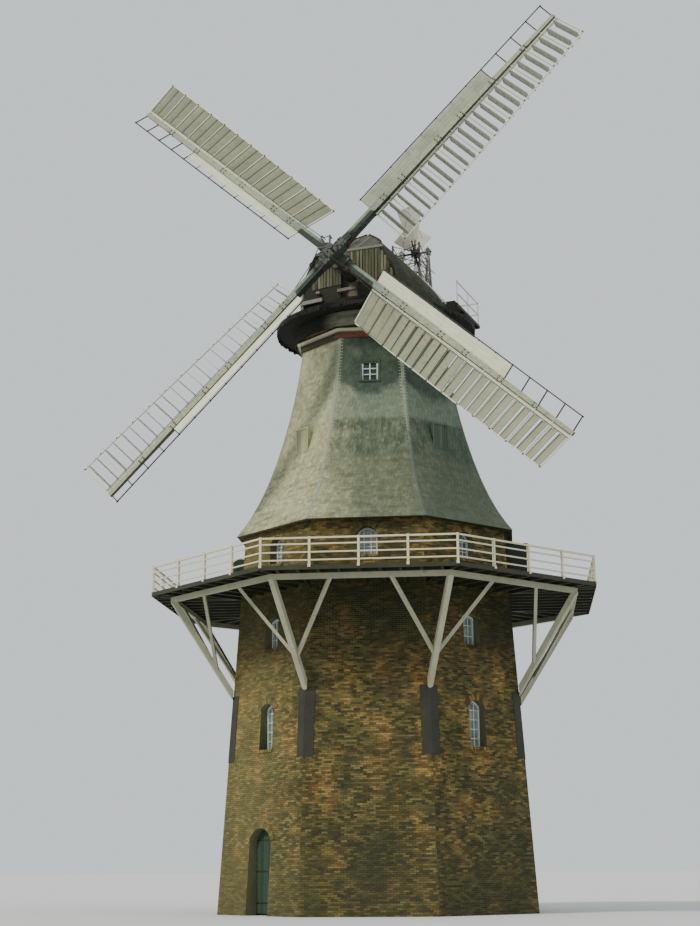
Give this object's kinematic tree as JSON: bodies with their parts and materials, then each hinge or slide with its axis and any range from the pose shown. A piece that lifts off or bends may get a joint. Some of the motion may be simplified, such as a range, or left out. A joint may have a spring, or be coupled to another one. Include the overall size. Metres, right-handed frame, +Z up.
{
  "type": "gallery windmill",
  "caption": "Tall gallery windmill: octagonal brick tower, railed stage on struts, shingled smock, turning cap with shuttered sails and a fantail.",
  "frame": {"origin": "ground level on the axis of the tower", "axes": "+Z up, -Y towards the viewer's side of the tower, +X to the viewer's right"},
  "size_m": [19.9511, 16.7783, 34.7019],
  "materials": {
    "brick": "weathered brick",
    "tarred_wood": "weathered tarred boards",
    "timber": "sawn timber",
    "cream_paint": "worn cream paint",
    "pale_struts": "worn pale paint",
    "window_glass": "clear",
    "green_paint": "dark green paint",
    "shingles": "weathered shingles",
    "red_paint": "worn red paint",
    "grey_boards": "grey boards",
    "roof_felt": "weathered roof covering",
    "shutter_paint": "grey-green paint",
    "iron": "painted iron"
  },
  "bodies": {
    "tower": {"wall_front": "brick", "wall_front_right": "brick", "wall_right": "brick", "wall_back_right": "brick", "wall_back": "brick", "wall_back_left": "brick", "wall_left": "brick", "wall_front_left": "brick", "corner_strips": "tarred_wood", "ground_floor": "brick", "timber_floors": "timber", "window_frames": "cream_paint", "window_glass": "window_glass", "stage_doors": "green_paint", "stage_porch": "green_paint", "door_pintles": "iron", "stage_deck_straight": "tarred_wood", "stage_deck_diagonal": "tarred_wood", "stage_joists": "tarred_wood", "stage_ring_beam": "pale_struts", "stage_struts": "pale_struts", "railing_straight": "cream_paint", "railing_diagonal": "cream_paint", "smock_straight_sides": "shingles", "smock_diagonal_sides": "shingles", "smock_sill": "timber", "smock_hips": "pale_struts", "smock_hatches": "tarred_wood", "curb": "timber", "curb_band_red": "red_paint", "curb_band_pale": "timber"},
    "ground_door": {"ground_door": "green_paint"},
    "cap": {"cap_ring": "timber", "cap_drum": "grey_boards", "cap_soffit": "tarred_wood", "cap_skirt": "tarred_wood", "roof_left": "roof_felt", "roof_right": "roof_felt", "gable_lower": "grey_boards", "gable_upper": "grey_boards", "weather_beam": "timber", "tail_beam": "timber", "fan_stage": "tarred_wood", "fan_stage_rail": "cream_paint", "fan_trestle": "grey_boards", "roof_ladder": "cream_paint"},
    "sails": {"windshaft": "green_paint", "poll_end": "green_paint", "stock_front": "green_paint", "stock_rear": "green_paint", "sail_frames_front": "cream_paint", "sail_frames_rear": "cream_paint", "lead_frames": "iron", "leading_boards": "cream_paint", "shutters_front": "shutter_paint", "shutters_rear": "shutter_paint", "spider": "iron"},
    "fantail": {"fan_shaft": "iron", "fan_blades": "cream_paint"}
  },
  "joints": [
    {"name": "cap_turn", "type": "hinge", "parent": "tower", "child": "cap", "pos_m": [0, 0, 22.35], "axis": [0, 0, 1], "continuous": true},
    {"name": "sails_turn", "type": "hinge", "parent": "cap", "child": "sails", "pos_m": [-1.1705, -4.2207, 24.88], "axis": [-0.2628, -0.9478, 0.1805], "continuous": true},
    {"name": "fantail_turn", "type": "hinge", "parent": "cap", "child": "fantail", "pos_m": [1.38964, 5.01088, 28.4], "axis": [0.9636, -0.2672, 0], "continuous": true},
    {"name": "ground_door_swing", "type": "hinge", "parent": "tower", "child": "ground_door", "pos_m": [-4.24313, -3.25601, 0.4], "axis": [0, 0, 1], "range_deg": [0, 90]}
  ]
}
